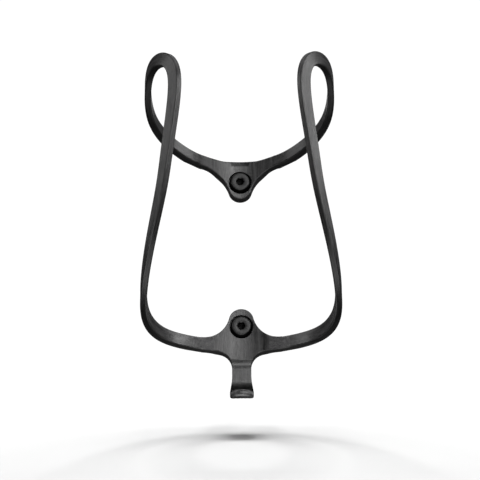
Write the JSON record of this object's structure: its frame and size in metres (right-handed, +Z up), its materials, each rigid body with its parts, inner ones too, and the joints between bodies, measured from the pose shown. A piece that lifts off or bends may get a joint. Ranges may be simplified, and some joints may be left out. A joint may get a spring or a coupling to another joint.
{
  "type": "water bottle cage",
  "caption": "Lightweight open bottle cage: carbon side rails loop forward round the bottle from a lower bracket with a foot hook and an upper bracket, with frame bolts.",
  "frame": {"origin": "midway between the two frame bolts, on the frame tube's surface, which is the brackets' back faces", "axes": "+Z up along the bottle, +Y into the frame tube, +X to the right as seen from the bottle side, which is -Y"},
  "size_m": [0.0796, 0.0867, 0.1291],
  "materials": {
    "carbon_laminate": "satin unidirectional carbon fibre, laid along the bands",
    "carbon_cover_ply": "satin unidirectional carbon fibre, laid across the seam",
    "black_steel": "black oxide, satin"
  },
  "bodies": {
    "cage": {"lower_bracket": "carbon_laminate", "upper_bracket": "carbon_laminate", "left_rail": "carbon_laminate", "right_rail": "carbon_laminate", "lower_left_overlap_ply": "carbon_cover_ply", "lower_right_overlap_ply": "carbon_cover_ply", "upper_cover_ply": "carbon_cover_ply"},
    "lower_bolt_body": {"lower_bolt": "black_steel"},
    "upper_bolt_body": {"upper_bolt": "black_steel"}
  },
  "joints": [
    {"name": "lower_bolt_turn", "type": "hinge", "parent": "cage", "child": "lower_bolt_body", "pos_m": [0, 0, -0.032], "axis": [0, 1, 0], "continuous": true},
    {"name": "upper_bolt_turn", "type": "hinge", "parent": "cage", "child": "upper_bolt_body", "pos_m": [0, 0, 0.032], "axis": [0, 1, 0], "continuous": true}
  ]
}
